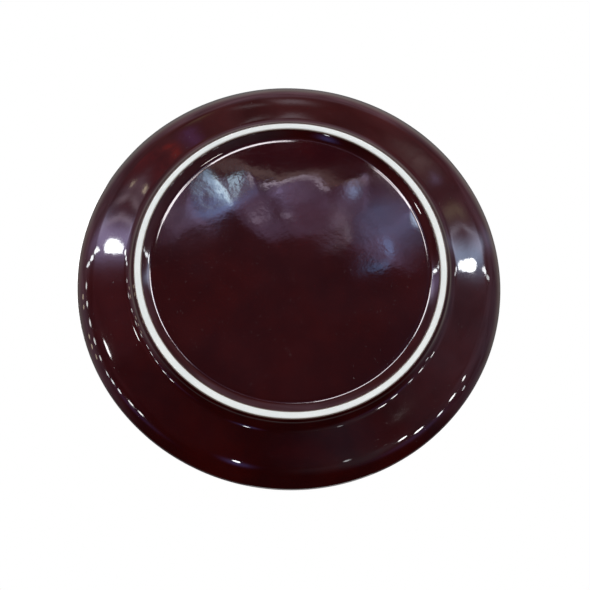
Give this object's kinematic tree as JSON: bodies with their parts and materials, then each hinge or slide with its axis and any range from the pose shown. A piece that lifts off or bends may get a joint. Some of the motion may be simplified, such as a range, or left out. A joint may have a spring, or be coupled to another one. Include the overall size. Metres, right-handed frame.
{
  "type": "dinner plate",
  "caption": "Round coupe dinner plate in glazed stoneware: shallow well, upturned lip, low foot ring with a bare wiped contact band, and a recessed glazed base panel",
  "frame": {"origin": "centre of the foot ring's contact plane, the point under the middle of the plate that touches the table", "axes": "+Z is the plate's axis of revolution and points up out of the eating face; +X and +Y lie in the contact plane and are arbitrary, because the plate is round"},
  "size_m": [0.267, 0.267, 0.0229],
  "materials": {
    "bare_clay": "fine matt white fired clay, wiped smooth",
    "oxblood_glaze": "deep glossy oxblood maroon glaze",
    "base_glaze": "deep glossy oxblood maroon glaze"
  },
  "bodies": {
    "root": {"stoneware_body": "bare_clay", "outer_glaze": "oxblood_glaze", "base_glaze": "base_glaze"}
  },
  "joints": []
}
